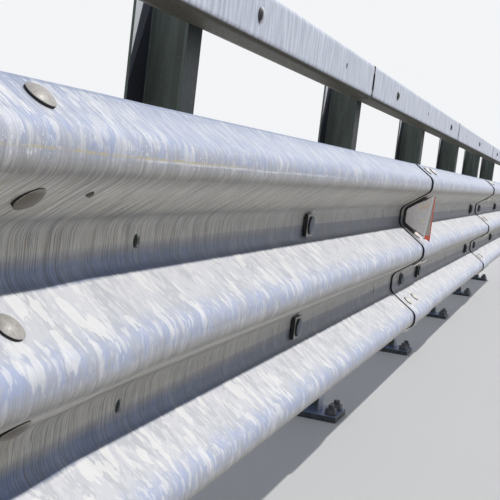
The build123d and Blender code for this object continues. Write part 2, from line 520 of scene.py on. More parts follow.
    def lay_scratches(self, graph: WaveGraph) -> None:
        """Lays fine light and dark scratches down the top wave, and a dark rim along its edge as painted
        shade.

        Args:
            graph: The material's nodes.
        """
        scratch = graph.noise(*self.scratches)
        for color, value, limits in ((self.white, scratch, self.light_range),
                                     (self.scratch, scratch, self.dark_range),
                                     (self.scratch, graph.rise, self.rim_rise)):
            graph.lay(color, graph.top, graph.band(value, *limits), graph.front)

    def lay_flecks(self, graph: WaveGraph) -> None:
        """Lays small white marks in clusters on the top wave's bend.

        Args:
            graph: The material's nodes.
        """
        bend = graph.times(*(graph.band(graph.rise, *limits) for limits in self.bend_rises))
        above = graph.band(graph.z, graph.top_start - 1 * MM, graph.top_start + 1 * MM)
        clusters = graph.band(graph.noise(*self.clusters), *self.cluster_range)
        marked = graph.times(bend, graph.times(graph.front, above, clusters))
        for scale, warp, reach, part, strength in self.flecks:
            graph.lay(self.white, marked, graph.times(graph.dabs(scale, warp, reach, part), strength))

    def scraped(self, graph: Graph, height: float, start: float, stop: float, most: float) -> Socket:
        """Share of one line of the broken scrape: near one height, between two places, with gaps.

        Args:
            graph: The material's nodes.
            height: The line's height.
            start: Its near end along the rail.
            stop: Its far end along the rail.
            most: The share where it is strongest.

        Returns:
            The share, 0 to 1.
        """
        wander = graph.times(graph.noise(*self.wander), self.scrape_drift)
        off = graph.math("SUBTRACT", graph.math("ADD", graph.z, wander), height + self.scrape_drift / 2)
        near = graph.band(graph.math("ABSOLUTE", off), *self.scrape_width)
        first, last = self.scrape_ends
        along = graph.times(graph.band(graph.x, start, start + first),
                            graph.band(graph.x, stop, stop - last))
        broken = graph.band(graph.noise(*self.breaks), *self.break_range, most)
        road = graph.band(graph.normal_y, -0.3, -0.7)
        return graph.times(graph.times(near, broken), graph.times(along, road))


@dataclass(frozen=True)
class StreakedZinc:
    """Galvanised steel with streaks along one axis, a mottle, and a tint on some of its sides, which on
    several finishes is painted light and shade.
    """

    name: str
    light: Color
    dark: Color
    spot: Color
    streak: tuple
    tints: tuple[tuple[Side, Color], ...] = ()
    grain: tuple = (150, 150, 90)
    # Octaves, the finer octaves' share and the warp of the streaks and of the mottle
    streak_detail: tuple = (4, 0.6, 0.3)
    grain_detail: tuple = (3, 0.65)
    cloud: tuple = ((6, 8, 5), 3, 0.55)
    # The noise values where each layer starts and is full, and its shares there
    streak_range: tuple = (0.36, 0.66)
    cloud_range: tuple = (0.5, 0.75, 0, 0.4)
    spot_range: tuple = (0.58, 0.68, 0, 0.5)
    rough_range: tuple = (0.3, 0.7, 0.42, 0.6)
    # The painted sunlit strip on a post's rear leg: half the posts' spacing, and the strip's slope, foot and
    # lip
    half_bay: float = 0.75
    strip_slope: float = 0.28
    strip_foot: float = 1.032
    strip_lip: float = 40 * MM

    def build(self) -> Material:
        """Builds the material.

        Returns:
            The material.
        """
        graph = Graph(self.name, self.dark, 0.1, 0.4)
        streak = graph.noise(self.streak, *self.streak_detail)
        mottle = graph.noise(self.grain, *self.grain_detail)
        graph.lay(self.light, graph.band(streak, *self.streak_range))
        graph.lay(self.dark, graph.band(graph.noise(*self.cloud), *self.cloud_range))
        graph.lay(self.spot, graph.band(mottle, *self.spot_range))
        for side, color in self.tints:
            graph.lay(color, *(graph.band(self.measure(graph, name), *limits)
                               for name, *limits in side.value))
        rough = graph.band(mottle, *self.rough_range)
        return graph.finish(rough, graph.math("ADD", streak, mottle), 0.2 * MM)

    def measure(self, graph: Graph, name: str) -> Socket:
        """One of the measures by which sides are told apart.

        Across is the size of the normal's X, and away is the larger of its X and Y. Strip is the
        strip's slope times the height above its foot, less its lip, less the place along the rail
        from the middle of the nearest post, so that the strip widens toward the top.

        Args:
            graph: The material's nodes.
            name: One of these names, or that of a coordinate or a part of the normal.

        Returns:
            The measure.
        """
        if name == "across":
            return graph.math("ABSOLUTE", graph.normal_x)
        if name == "away":
            return graph.math("MAXIMUM", graph.normal_x, graph.normal_y)
        if name == "strip":
            local = graph.math("WRAP", graph.x, self.half_bay, -self.half_bay)
            limit = graph.math("MULTIPLY_ADD", graph.z, self.strip_slope,
                               -self.strip_slope * self.strip_foot - self.strip_lip)
            return graph.math("SUBTRACT", limit, local)
        return getattr(graph, name)


@dataclass(frozen=True)
class SpeckledPlate:
    """The delineator's pale plate, with a faint warm mottle."""

    name: str = "plate_grey"
    dark: Color = srgb(236, 229, 224)
    light: Color = srgb(252, 246, 242)
    mottle: tuple = ((120, 120, 120), 4, 0.7)

    def build(self) -> Material:
        """Builds the material.

        Returns:
            The material.
        """
        graph = Graph(self.name, self.dark, 0.0, 0.4)
        graph.lay(self.light, graph.band(graph.noise(*self.mottle), 0.35, 0.65))
        return graph.finish(0.55)


@dataclass(frozen=True)
class PlainPaint:
    """One even colour."""

    name: str
    color: Color
    roughness: float = 0.5

    def build(self) -> Material:
        """Builds the material and returns it."""
        return Graph(self.name, self.color).finish(self.roughness)


@dataclass(frozen=True)
class RimmedRed:
    """The reflector's red, with painted shade on the rim along its lower slanted edge."""

    name: str = "reflector_red"
    red: Color = srgb(232, 92, 58)
    painted_shade: Color = srgb(60, 56, 52)
    # A point of the lower edge's line as Y and Z, and the line's slope
    tip: tuple[float, float] = (-412.6 * MM, 690 * MM)
    slope: float = 0.603
    rim: tuple[float, float] = (9 * MM, 8 * MM)
    set_in: tuple[float, float] = (8 * MM, 11 * MM)

    def build(self) -> Material:
        """Builds the material, with painted shade where z is under the lower edge's line plus the rim.

        Returns:
            The material.
        """
        graph = Graph(self.name, self.red)
        start, level = self.tip
        line = graph.math("MULTIPLY_ADD", graph.y, self.slope, level - start * self.slope)
        under = graph.band(graph.math("SUBTRACT", graph.z, line), *self.rim)
        graph.lay(self.painted_shade, under, graph.band(graph.y, *(start + off for off in self.set_in)))
        return graph.finish(0.35)


class Finishes:
    """Every finish, built once."""

    def __init__(self, middle: float) -> None:
        """Builds all finishes.

        Args:
            middle: Height of the beam's middle crest.
        """
        self.beam = BeamZinc().build(middle)
        # Painted shade: the rail's underside darker and browner.
        self.rail = StreakedZinc("rail_zinc", srgb(228, 231, 243), srgb(192, 197, 209), srgb(238, 240, 247),
                                 (80, 90, 8), ((Side.UNDER, srgb(84, 80, 68)),)).build()
        # Painted shade: the posts' dark zinc, and their darker road faces and rear legs, as they stand in
        # the shade of the rail and beam.
        self.post = StreakedZinc("post_zinc", srgb(104, 114, 106), srgb(84, 92, 86), srgb(120, 128, 124),
                                 (40, 40, 4), ((Side.ROAD, srgb(68, 73, 79)),
                                               (Side.REAR_LEG, srgb(64, 66, 76)),
                                               # Painted sunlight: the white strip on the rear leg and the
                                               # lighter foot of the road face.
                                               (Side.PAINTED_SUN_STRIP, srgb(252, 253, 255)),
                                               (Side.FOOT, srgb(186, 190, 204)),
                                               (Side.AWAY, srgb(142, 148, 148)))).build()
        # Painted shade and skylight: the base plates' dark zinc, with bluish tops.
        self.base = StreakedZinc("base_zinc", srgb(72, 76, 80), srgb(56, 59, 62), srgb(90, 95, 100),
                                 (60, 60, 60), ((Side.AWAY, srgb(104, 110, 114)),
                                                (Side.TOP, srgb(122, 135, 168)))).build()
        # Painted shade: the domes darker on their undersides.
        self.dome = StreakedZinc("dome_zinc", srgb(196, 191, 184), srgb(178, 172, 165), srgb(120, 112, 104),
                                 (160, 160, 160), ((Side.HEAD_UNDER, srgb(108, 102, 92)),
                                                   (Side.FAR, srgb(236, 230, 222))), (600, 600, 600)).build()
        # Painted shade: the washers' near-black ends.
        self.washer = StreakedZinc("washer_zinc", srgb(118, 122, 130), srgb(92, 95, 102),
                                   srgb(140, 142, 150), (120, 120, 60),
                                   ((Side.ROAD, srgb(158, 156, 152)), (Side.ENDS, srgb(36, 36, 34)))).build()
        self.bolt = StreakedZinc("bolt_zinc", srgb(112, 117, 128), srgb(88, 92, 102), srgb(136, 140, 150),
                                 (120, 120, 120)).build()
        # Painted shade: the dark near side of the rail's bolt heads.
        self.rail_bolt = StreakedZinc("rail_bolt_zinc", srgb(238, 239, 243), srgb(208, 210, 214),
                                      srgb(120, 120, 122), (120, 120, 120),
                                      ((Side.NEAR, srgb(62, 62, 62)),)).build()
        self.nut = StreakedZinc("nut_zinc", srgb(116, 119, 128), srgb(84, 87, 92), srgb(146, 148, 156),
                                (120, 120, 60)).build()
        # Painted shade: the anchor nuts darker than the other nuts, as they stand in the beam's shadow.
        self.anchor = StreakedZinc("anchor_zinc", srgb(88, 89, 94), srgb(64, 64, 68), srgb(112, 114, 120),
                                   (120, 120, 60)).build()
        self.plate = SpeckledPlate().build()
        # Painted highlight: the white fold line stands in for the sun catching the plate's bent edge.
        self.fold_highlight = PlainPaint("fold_highlight_white", srgb(255, 253, 250)).build()
        self.red = RimmedRed().build()
        self.pad = PlainPaint("pad_dark", srgb(46, 44, 40), 0.7).build()
        self.flap = PlainPaint("flap_grey", srgb(200, 192, 180), 0.6).build()
        self.corner = PlainPaint("corner_red", srgb(255, 118, 84), 0.35).build()
        # Painted shadow: the dark of the rail sleeves in the joints, the lap edges, the gaps under bolt
        # heads and the rail's seams.
        self.painted_shade = PlainPaint("painted_shade_dark", srgb(34, 34, 34), 0.8).build()
        self.stain = PlainPaint("stain_ochre", srgb(150, 128, 84), 0.8).build()
        # Painted glints: the yellow specks and the orange streak on the shaded plate.
        self.painted_glint = PlainPaint("painted_glint_yellow", srgb(255, 248, 110)).build()
        self.streak = PlainPaint("painted_glint_orange", srgb(255, 222, 198)).build()
        self.plug = PlainPaint("plug_brown", srgb(104, 96, 84), 0.8).build()


class MeshKit:
    """Turns arrays into joined meshes that ride on the guardrail."""

    @staticmethod
    def make(name: str, shape: Shape, material: Material, slot: Slot) -> bpy.types.Object:
        """Makes one mesh object whose faces are shaded smoothly between sharp edges.

        Args:
            name: The piece's name.
            shape: Corner positions and four-sided faces, where a repeated corner makes a triangle.
            material: Its finish.
            slot: The record's slot for the piece; not used.

        Returns:
            The object.
        """
        points, faces = shape
        mesh = bpy.data.meshes.new(name)
        mesh.from_pydata(points.tolist(), [], [tuple(dict.fromkeys(face)) for face in faces.tolist()])
        mesh.materials.append(material)
        mesh.update()
        mesh.shade_smooth()
        mesh.set_sharp_from_angle(angle=SHARP_ANGLE)
        piece = add_object(name, mesh)
        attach(piece, BODY)
        LOG.info("%s: %d faces", name, len(mesh.polygons))
        return piece

    @staticmethod
    def lathe(profile: list[tuple[float, float]], sides: int, corners: int = 0) -> Shape:
        """Turns rows of radius and height about +Z.

        A corner is (r k cos a, r k sin a, h) for each angle a round the turn, where k is 1 for a
        round shape and 1 / cos(a mod 60 degrees - 30 degrees) for a hexagon. The last row closes
        on the axis in one corner for all sides.

        Args:
            profile: Rows of radius and height, from the bottom up, the last with radius nought.
            sides: Steps round the axis, a multiple of six for a hexagon.
            corners: 6 for rows that are hexagons, or 0 for round ones.

        Returns:
            Points and faces.
        """
        rows = np.array(profile[:-1])
        angles = np.arange(sides) * 2 * np.pi / sides
        factor = np.ones(sides)
        if corners:
            step = 2 * np.pi / corners
            factor = 1 / np.cos(np.mod(angles, step) - step / 2)
        reach = rows[:, 0][:, None] * factor[None, :]
        heights = np.repeat(rows[:, 1][:, None], sides, 1)
        ring = np.stack([reach * np.cos(angles), reach * np.sin(angles), heights], -1).reshape(-1, 3)
        points = np.concatenate([ring, [[0.0, 0.0, profile[-1][1]]]])
        turn = np.arange(sides)
        last = (len(rows) - 1) * sides
        pole = np.full(sides, len(ring))
        cap = np.stack([last + turn, last + (turn + 1) % sides, pole, pole], -1)
        return points, np.concatenate([MeshKit.walls(len(rows), sides), cap])

    @staticmethod
    def walls(rows: int, cols: int) -> np.ndarray:
        """The faces between each ring of corners and the next one.

        Args:
            rows: Number of rings.
            cols: Corners in each ring.

        Returns:
            Four-sided faces, one for each corner of each ring but the last.
        """
        row = np.arange(rows - 1)[:, None] * cols
        col = np.arange(cols)[None, :]
        nxt = (col + 1) % cols
        return np.stack([row + col, row + nxt, row + cols + nxt, row + cols + col], -1).reshape(-1, 4)

    @staticmethod
    def box(low: tuple[float, float, float], high: tuple[float, float, float]) -> Shape:
        """A box between two corners.

        Args:
            low: Its lowest corner.
            high: Its highest corner.

        Returns:
            Points and faces.
        """
        points = np.array([[(low, high)[i][0], (low, high)[j][1], (low, high)[k][2]]
                           for i in (0, 1) for j in (0, 1) for k in (0, 1)])
        faces = np.array([[0, 1, 3, 2], [4, 6, 7, 5], [0, 4, 5, 1], [2, 3, 7, 6], [0, 2, 6, 4],
                          [1, 5, 7, 3]])
        return points, faces

    @staticmethod
    def scatter(shape: Shape, spots: list[Spot]) -> Shape:
        """Copies a shape to many places, its +Z turned to each place's normal.

        Args:
            shape: The shape's corners and faces.
            spots: For each copy its place, its normal and a turn about it in radians.

        Returns:
            Points and faces of all copies together.
        """
        points, faces = shape
        turned = []
        for place, normal, spin in spots:
            rotation = normal.to_track_quat("Z", "Y").to_matrix() @ Matrix.Rotation(spin, 3, "Z")
            turned.append(points @ np.array(rotation).T + np.array(place))
        count = np.arange(len(spots))[:, None, None] * len(points)
        return np.concatenate(turned), (faces[None] + count).reshape(-1, 4)

    @staticmethod
    def join(shapes: list[Shape]) -> Shape:
        """Puts several shapes into one.

        Args:
            shapes: The shapes.

        Returns:
            Points and faces of all of them together.
        """
        points, faces, count = [], [], 0
        for some_points, some_faces in shapes:
            points.append(some_points)
            faces.append(some_faces + count)
            count += len(some_points)
        return np.concatenate(points), np.concatenate(faces)


@dataclass
class WaveBeam:
    """The beam's section and the places of its laps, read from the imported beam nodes."""

    wave_pitch: float = 194 * MM
    wave_depth: float = 80 * MM
    crest_flat: float = 17 * MM
    slope: float = math.radians(55)
    sheet: float = 3 * MM
    half_height: float = 253 * MM
    edge_trim: float = 4 * MM
    bend: float = 24 * MM
    edge_line: float = 1.2 * MM
    lap_step: float = 5.6 * MM
    column_offsets: tuple[float, float] = (57 * MM, 177 * MM)
    tag_offset: float = 270 * MM
    tag_drop: float = 37 * MM
    valley_offset: float = 125 * MM
    lean: float = math.radians(5)
    # The middles of the two valleys, in pitches above the middle crest
    valleys: tuple[float, float] = (0.5, -0.5)
    line_rows: int = 320
    line_inset: float = 0.5 * MM
    line_overlap: float = 0.2 * MM
    line_depths: tuple[float, float] = (0.8 * MM, 0.6 * MM)
    # Wave number, whether above its crest, and share of the slope's depth, of each bolt in a lap's column
    head_shares: tuple = ((1, True, 0.40), (1, False, 0.42), (0, True, 0.50), (0, False, 0.33),
                          (-1, True, 0.47), (-1, False, 0.38))
    starts: list[float] = field(default_factory=list)
    valley_y: float = 0.0
    middle: float = 0.0

    def __post_init__(self) -> None:
        """Reads the beam's places from the frame."""
        low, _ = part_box("beam_1")
        self.valley_y = low[1] + self.wave_depth
        self.middle = low[2] + self.half_height
        self.starts = [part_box(f"beam_{number}")[0][0] for number in range(2, 6)]

    @property
    def run(self) -> float:
        """Height of one slope, between a crest's flat and a valley's."""
        return self.wave_depth / math.tan(self.slope)

    def depth(self, rise: np.ndarray) -> np.ndarray:
        """How far the road face lies behind the crests, from heights above the middle crest.

        With d the height from the nearest crest: nought up to the first bend, then a circle arc
        out of the flat, (d - flat half) times depth over run along the slope, and a circle arc
        into the valley's flat.

        Args:
            rise: Heights above the middle crest.

        Returns:
            Depths behind the crest faces.
        """
        tangent = self.bend * math.tan(self.slope / 2)
        off = np.abs(rise - self.wave_pitch * np.clip(np.round(rise / self.wave_pitch), -1, 1))
        first, last = self.crest_flat - tangent, self.crest_flat + self.run + tangent
        arc_out = self.bend - np.sqrt(np.maximum(self.bend ** 2 - np.maximum(off - first, 0) ** 2, 0))
        arc_in = self.wave_depth - self.bend + np.sqrt(
            np.maximum(self.bend ** 2 - np.maximum(last - off, 0) ** 2, 0))
        slant = (off - self.crest_flat) * math.tan(self.slope)
        short = tangent * math.cos(self.slope)
        return np.select([off <= self.crest_flat + short, off <= self.crest_flat + self.run - short],
                         [arc_out, slant], arc_in)

    def ribbon(self, x: float, thick: float, start_y: float, stop_y: float) -> Shape:
        """A thin band across the rail that follows the waves: the painted shadow along a lap edge.

        Its section is a rectangle of the thickness along X, from start_y to stop_y behind the
        road face, carried along the face's heights from the bottom edge to the top edge.

        Args:
            x: The band's near side along the rail.
            thick: Its thickness along the rail.
            start_y: How far behind the lapped road face it starts.
            stop_y: How far behind the lapped road face it stops.

        Returns:
            Points and faces.
        """
        rise = np.linspace(-self.half_height + self.line_inset,
                           self.half_height - self.edge_trim - self.line_inset, self.line_rows)
        face = self.valley_y - self.lap_step - self.wave_depth + self.depth(rise)
        corners = ((x, start_y), (x + thick, start_y), (x + thick, stop_y), (x, stop_y))
        points = np.stack([np.column_stack([np.full_like(rise, at), face + back, rise + self.middle])
                           for at, back in corners], 1).reshape(-1, 3)
        walls = MeshKit.walls(len(rise), len(corners))
        last = len(points) - 4
        return points, np.concatenate([walls, [[3, 2, 1, 0]], [[last, last + 1, last + 2, last + 3]]])

    def build(self, finishes: Finishes) -> None:
        """Makes the dark lines of painted shadow at the edges of the lapped sheets.

        Args:
            finishes: The finishes.
        """
        front, back = self.line_depths
        lines = [self.ribbon(start - self.edge_line, self.edge_line + self.line_overlap, front,
                             self.lap_step - back) for start in self.starts]
        MeshKit.make("lap_edge_painted_shadows", MeshKit.join(lines), finishes.painted_shade, Slot.BEAM)

    def slope_spot(self, x: float, crest: int, upper: bool, share: float) -> tuple[Vector, Vector]:
        """A place on a wave's slope within a lap, and a bolt's axis there.

        The axis is the slope's outward normal, but under a crest it leans toward the road.

        Args:
            x: Place along the rail.
            crest: Wave number, 1 for the top one, 0 for the middle one and -1 for the lowest.
            upper: Whether it is the slope above the crest.
            share: How far down the slope's depth, from the crest.

        Returns:
            The place and the axis.
        """
        side = 1 if upper else -1
        angle = self.slope - (0.0 if upper else self.lean)
        z = self.middle + crest * self.wave_pitch + side * (self.crest_flat + self.run * share)
        y = self.valley_y - self.lap_step - self.wave_depth * (1 - share)
        return Vector((x, y, z)), Vector((0, -math.cos(angle), side * math.sin(angle)))

    def lap_spots(self, behind: bool = False) -> list[Spot]:
        """Places of the bolts that join the laps, on the front or on the back.

        Args:
            behind: Whether the nuts' places on the back are asked for.

        Returns:
            Place, normal and turn of each bolt.
        """
        found = []
        for start in self.starts:
            for offset in self.column_offsets:
                for crest, upper, share in self.head_shares:
                    found.append(self.slope_spot(start + offset, crest, upper, share))
        spins = np.random.default_rng(7).uniform(0, 2 * math.pi, len(found)).tolist()
        spots = []
        for (place, normal), spin in zip(found, spins):
            if behind:
                depth = self.sheet + self.lap_step * abs(normal.y)
                spots.append((place - normal * depth, -normal, spin))
            else:
                spots.append((place, normal, spin))
        return spots

    def tag_spots(self) -> list[Spot]:
        """Places of the small plugs on the slope under the top crest, past each lap's start.

        Returns:
            Place, normal and turn of each plug.
        """
        depth = (self.tag_drop - self.crest_flat) * math.tan(self.slope)
        normal = Vector((0, -self.run, -self.wave_depth)).normalized()
        return [(Vector((start + self.tag_offset, self.valley_y - self.lap_step - self.wave_depth + depth,
                         self.middle + self.wave_pitch - self.tag_drop)), normal, 0.0)
                for start in self.starts]

    def valley_spots(self, behind: bool = False) -> list[Spot]:
        """Places of the washered bolts in the valleys of the laps, on the front or on the back.

        Args:
            behind: Whether the nuts' places on the back are asked for.

        Returns:
            Place, normal and turn of each bolt.
        """
        depth = (self.sheet + self.lap_step) if behind else 0.0
        normal = REAR if behind else ROAD
        return [(Vector((start + self.valley_offset, self.valley_y - self.lap_step + depth,
                         self.middle + valley * self.wave_pitch)), normal, 0.4 + 2 * valley)
                for start in self.starts for valley in self.valleys]


@dataclass
class Posts:
    """Where the posts, the spacers, the washers and the upper rail stand."""

    names: tuple = tuple(f"post_{number}" for number in range(1, 8))
    anchor_x: float = 40 * MM
    anchor_y: float = 107 * MM
    flange: float = 6 * MM

    def centres(self) -> list[tuple[float, float]]:
        """Each post's middle along the rail, and its front face."""
        boxes = [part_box(name) for name in self.names]
        return [((low[0] + high[0]) / 2, low[1]) for low, high in boxes]


@dataclass
class Fasteners:
    """Dome-head bolts, hex nuts and anchor studs, true to scale."""

    beam: WaveBeam
    posts: Posts
    finishes: Finishes
    # Radius, rim height and full height of each kind of head
    lap_head: tuple = (15.0 * MM, 2.8 * MM, 7.2 * MM)
    valley_head: tuple = (16.5 * MM, 4.0 * MM, 10.0 * MM)
    post_head: tuple = (17.0 * MM, 4.5 * MM, 7.5 * MM)
    rail_head: tuple = (15.5 * MM, 1.6 * MM, 8.4 * MM)
    # Radius and height
    valley_washer: tuple = (20.0 * MM, 4.0 * MM)
    tag_plug: tuple = (3.6 * MM, 2.6 * MM)
    # Size across the flats, height, stud radius, stud end and washer radius of each kind of nut
    slim_nut: tuple = (24 * MM, 13 * MM, 8 * MM, 9 * MM)
    anchor_nut: tuple = (36 * MM, 19 * MM, 11 * MM, 13 * MM, 22 * MM)
    spacer_wall: float = 5 * MM
    spacer_bolts: float = 114 * MM
    washer_half: float = 21 * MM
    stain_drops: tuple = (4 * MM, 7 * MM)

    @staticmethod
    def dome(head: tuple[float, float, float]) -> Shape:
        """A button head: a short rim under a cap whose height falls as the square of the radius.

        Args:
            head: Radius, rim height and full height.

        Returns:
            Points and faces.
        """
        radius, rim, full = head
        rows = [(radius * 0.98, rim * 0.7), (radius, rim * 0.8), (radius, rim)]
        rows += [(radius * share, rim + (full - rim) * (1 - share ** 2.4))
                 for share in (0.96, 0.88, 0.75, 0.55, 0.3, 0.0)]
        return MeshKit.lathe(rows, 28)

    @staticmethod
    def collar(head: tuple[float, float, float]) -> Shape:
        """The dark neck in the gap under a head, painted shadow: a low cylinder a little smaller than the
        head.
        """
        radius, top = head[0] * 0.985, head[1] * 0.8
        return MeshKit.lathe([(radius, -2.2 * MM), (radius, top), (0, top)], 28)

    @staticmethod
    def plug(size: tuple[float, float]) -> Shape:
        """A blob of zinc in a small hole: a short cylinder of one radius and height with a round top."""
        radius, top = size
        return MeshKit.lathe([(radius, -0.6 * MM), (radius, top * 0.6), (radius * 0.7, top), (0, top)], 16)

    @staticmethod
    def nut(across: float, height: float, stud: float, rise: float, washer: float = 0.0) -> Shape:
        """A hex nut with a stud end through it, on a washer if one is asked for.

        Args:
            across: Size across the flats.
            height: The nut's height.
            stud: The stud's radius.
            rise: How far the stud stands above the nut.
            washer: The washer's radius, or nought.

        Returns:
            Points and faces.
        """
        flat = across / 2
        base = 3 * MM if washer else 0.0
        shapes = [MeshKit.lathe([(flat, base - 0.3 * MM), (flat, base + height - 1.5 * MM),
                                 (flat * 0.95, base + height), (0, base + height)], 24, 6),
                  MeshKit.lathe([(stud, base), (stud, base + height + rise - 1.5 * MM),
                                 (stud * 0.86, base + height + rise), (0, base + height + rise)], 16)]
        if washer:
            shapes.append(MeshKit.lathe([(washer, -0.3 * MM), (washer, base), (0, base)], 24))
        return MeshKit.join(shapes)

    def put(self, name: str, shape: Shape, spots: list[Spot], material: Material) -> None:
        """Makes one mesh of a shape at each of its spots."""
        MeshKit.make(name, MeshKit.scatter(shape, spots), material, Slot.HARDWARE)

    def build(self) -> None:
        """Makes the bolts, each kind as one mesh."""
        slim = self.nut(*self.slim_nut)
        lap_spots, valley_spots = self.beam.lap_spots(), self.beam.valley_spots()
        self.put("lap_bolt_heads", self.dome(self.lap_head), lap_spots, self.finishes.dome)
        wide, thick = self.valley_washer
        washer = MeshKit.lathe([(wide, -0.4 * MM), (wide, thick), (0, thick)], 28)
        raised = [(place + normal * thick, normal, spin) for place, normal, spin in valley_spots]
        self.put("lap_valley_heads", self.dome(self.valley_head), raised, self.finishes.bolt)
        self.put("lap_valley_washers", washer, valley_spots, self.finishes.washer)
        self.collars("lap_bolt_collars", ((self.lap_head, lap_spots), (self.valley_head, raised)))
        self.put("tag_plugs", self.plug(self.tag_plug), self.beam.tag_spots(), self.finishes.plug)
        behind = self.beam.lap_spots(behind=True) + self.beam.valley_spots(behind=True)
        self.put("lap_bolt_nuts", slim, behind, self.finishes.nut)
        self.post_bolts(slim)
        self.anchor_studs()

    def collars(self, name: str, kinds: tuple) -> None:
        """Makes the dark collars of painted shadow under several kinds of heads as one mesh.

        Args:
            name: The piece's name.
            kinds: Pairs of a head's sizes and its spots.
        """
        necks = MeshKit.join([MeshKit.scatter(self.collar(head), spots) for head, spots in kinds])
        MeshKit.make(name, necks, self.finishes.painted_shade, Slot.HARDWARE)

    def post_bolts(self, slim: Shape) -> None:
        """Makes the bolts through the washers, the spacers and the upper rail.

        Args:
            slim: The nut that closes each of them.
        """
        washer_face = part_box("washer_plates")[0][1]
        rail_low, rail_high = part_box("upper_rail_2")
        rail_middle = (rail_low[2] + rail_high[2]) / 2
        spacer_low, spacer_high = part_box("spacer_1")
        spacer_middle = (spacer_low[2] + spacer_high[2]) / 2
        shift = (spacer_low[0] + spacer_high[0]) / 2 - self.posts.centres()[0][0]
        heads, rail_heads, nuts = [], [], []
        for x, front in self.posts.centres():
            for valley in self.beam.valleys:
                z = self.beam.middle + valley * self.beam.wave_pitch
                heads.append((Vector((x + shift, washer_face, z)), ROAD, 0.3))
                nuts.append((Vector((x + shift, spacer_low[1] + self.spacer_wall, z)), REAR, 0.2))
                place = Vector((x + shift / 2, front, spacer_middle + valley * self.spacer_bolts))
                nuts.append((place + REAR * self.posts.flange, REAR, 0.1))
                nuts.append((place + ROAD * self.spacer_wall, ROAD, 0.4))
            rail_heads.append((Vector((x, rail_low[1], rail_middle)), ROAD, 0.0))
            nuts.append((Vector((x, front + self.posts.flange, rail_middle)), REAR, 0.5))
        self.put("post_bolt_heads", self.dome(self.post_head), heads, self.finishes.bolt)
        self.washer_stains([place for place, _, _ in heads])
        self.collars("post_bolt_collars", ((self.post_head, heads), (self.rail_head, rail_heads)))
        self.put("rail_bolt_heads", self.dome(self.rail_head), rail_heads, self.finishes.rail_bolt)
        self.put("post_bolt_nuts", slim, nuts, self.finishes.nut)

    def washer_stains(self, places: list[Vector]) -> None:
        """Makes the thin ochre stains that hang under the washers, on the beam's face.

        Args:
            places: The middle of each washer's road side.
        """
        half, face = self.washer_half, self.beam.valley_y
        drops = np.resize(self.stain_drops, len(places)).tolist()
        stains = [MeshKit.box((place.x - half - 1 * MM, face - 0.3 * MM, place.z - half - drop),
                              (place.x + half * 0.3, face + 0.2 * MM, place.z - half))
                  for place, drop in zip(places, drops)]
        MeshKit.make("washer_stains", MeshKit.join(stains), self.finishes.stain, Slot.HARDWARE)

    def anchor_studs(self) -> None:
        """Makes the studs and nuts that hold each base plate down."""
        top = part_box("base_plate_1")[1][2]
        spots = [(Vector((x + side_x * self.posts.anchor_x, side_y * self.posts.anchor_y, top)), UP,
                  0.35 + 0.5 * side_x * side_y)
                 for x, _ in self.posts.centres() for side_x in (-1, 1) for side_y in (-1, 1)]
        self.put("anchor_nuts", self.nut(*self.anchor_nut), spots, self.finishes.anchor)


@dataclass
class RailSeams:
    """The upper rail's joints: dark bands of painted shadow over each gap, widest at mid height."""

    finishes: Finishes
    lengths: int = 5
    # Half width, lower end and upper end of each band on the road face
    front_bands: tuple = ((7 * MM, 5 * MM, 95 * MM), (12 * MM, 24 * MM, 72 * MM))
    under_half: float = 6 * MM
    under_depth: tuple[float, float] = (9 * MM, 62 * MM)
    skin: tuple[float, float] = (-0.4 * MM, 0.6 * MM)

    def build(self) -> None:
        """Makes two thin bands on the road face at each gap, and one under the rail."""
        bands = []
        outer, inner = self.skin
        near, far = self.under_depth
        for number in range(1, self.lengths):
            low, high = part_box(f"upper_rail_{number}")
            middle = (high[0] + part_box(f"upper_rail_{number + 1}")[0][0]) / 2
            for half, start, stop in self.front_bands:
                bands.append(MeshKit.box((middle - half, low[1] + outer, low[2] + start),
                                         (middle + half, low[1] + inner, low[2] + stop)))
            bands.append(MeshKit.box((middle - self.under_half, low[1] + near, low[2] + outer),
                                     (middle + self.under_half, low[1] + far, low[2] + inner)))
        MeshKit.make("rail_seam_bands", MeshKit.join(bands), self.finishes.painted_shade, Slot.RAIL)


